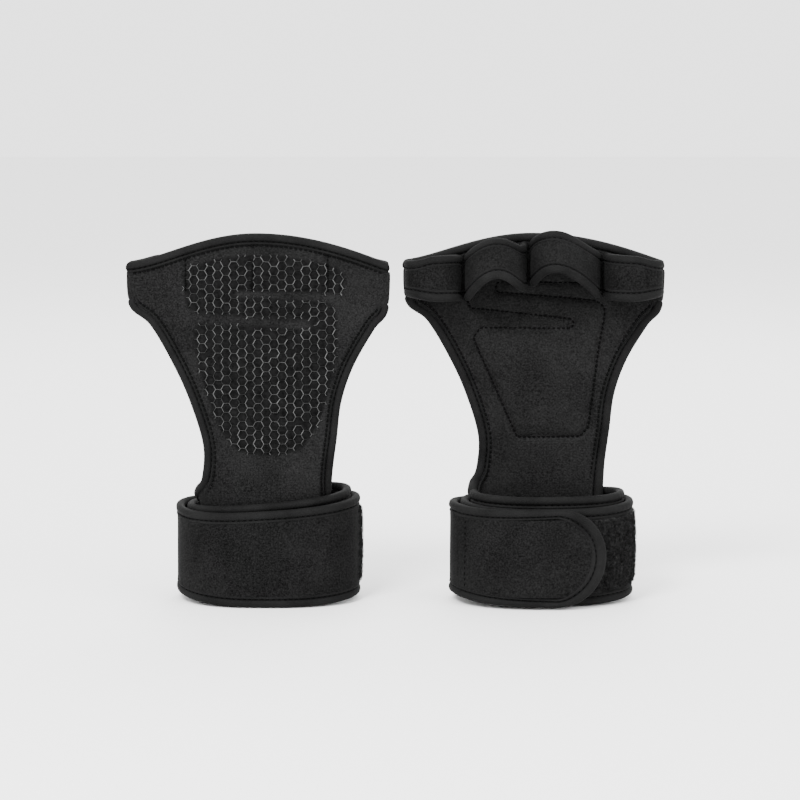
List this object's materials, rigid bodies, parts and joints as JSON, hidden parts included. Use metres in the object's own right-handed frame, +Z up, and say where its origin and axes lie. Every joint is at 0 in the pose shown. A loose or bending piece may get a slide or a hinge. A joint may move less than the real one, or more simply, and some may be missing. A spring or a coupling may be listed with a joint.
{
  "type": "hand grips",
  "caption": "Padded neoprene hand grips for barbell and bar work: silicone-printed palm panels with finger loops, each on a long wound wrist strap with a hook-and-loop tail.",
  "frame": {"origin": "bottom centre of the pair's bounding box, on the surface the wound straps stand on", "axes": "+X along the pair from the left grip to the right one, +Y away from the viewer, +Z up from the straps to the finger loops"},
  "size_m": [0.2442, 0.0622, 0.1667],
  "materials": {
    "neoprene": "black jersey-faced neoprene, matt, fine knit",
    "lining": "black jersey lining on the hand's side, matt",
    "binding": "black folded elastic edge binding with a stitched inner edge",
    "foam": "soft foam pad sealed between the layers",
    "silicone": "dark grey silicone print of hexagon outlines, half gloss",
    "loop_pile": "black looped pile fastening, fuzzy",
    "hook": "black moulded hook fastening"
  },
  "bodies": {
    "straps": {"left_panel_foot": "lining", "left_wrist_strap": "neoprene", "left_strap_top_binding": "binding", "left_strap_bottom_binding": "binding", "left_loop_patch": "loop_pile", "right_panel_foot": "lining", "right_wrist_strap": "neoprene", "right_strap_top_binding": "binding", "right_strap_bottom_binding": "binding", "right_loop_patch": "loop_pile"},
    "left_palm": {"left_palm_layer": "neoprene", "left_palm_lining": "lining", "left_foam_pad": "foam", "left_silicone_print": "silicone", "left_side_binding_a": "binding", "left_side_binding_b": "binding", "left_top_binding": "binding", "left_finger_loop_1": "neoprene", "left_finger_loop_2": "neoprene", "left_finger_loop_3": "neoprene", "left_finger_loop_4": "neoprene"},
    "left_tail": {"left_strap_tail": "neoprene", "left_tail_binding": "binding", "left_hook_patch": "hook"},
    "right_palm": {"right_palm_layer": "neoprene", "right_palm_lining": "lining", "right_foam_pad": "foam", "right_silicone_print": "silicone", "right_side_binding_a": "binding", "right_side_binding_b": "binding", "right_top_binding": "binding", "right_finger_loop_1": "neoprene", "right_finger_loop_2": "neoprene", "right_finger_loop_3": "neoprene", "right_finger_loop_4": "neoprene"},
    "right_tail": {"right_strap_tail": "neoprene", "right_tail_binding": "binding", "right_hook_patch": "hook"}
  },
  "joints": [
    {"name": "left_wrist_fold", "type": "hinge", "parent": "straps", "child": "left_palm", "pos_m": [-0.0568, -0.01665, 0.055], "axis": [1, 0, 0], "range_deg": [-45, 45], "stiffness_Nm_per_rad": 0.15},
    {"name": "left_tail_peel", "type": "hinge", "parent": "straps", "child": "left_tail", "pos_m": [-0.09554, 0.01797, 0.023], "axis": [0, 0, 1], "range_deg": [0, 100]},
    {"name": "right_wrist_fold", "type": "hinge", "parent": "straps", "child": "right_palm", "pos_m": [0.0672, 0.01665, 0.055], "axis": [-1, 0, 0], "range_deg": [-45, 45], "stiffness_Nm_per_rad": 0.15},
    {"name": "right_tail_peel", "type": "hinge", "parent": "straps", "child": "right_tail", "pos_m": [0.02846, -0.01797, 0.023], "axis": [0, 0, -1], "range_deg": [0, 100]}
  ]
}
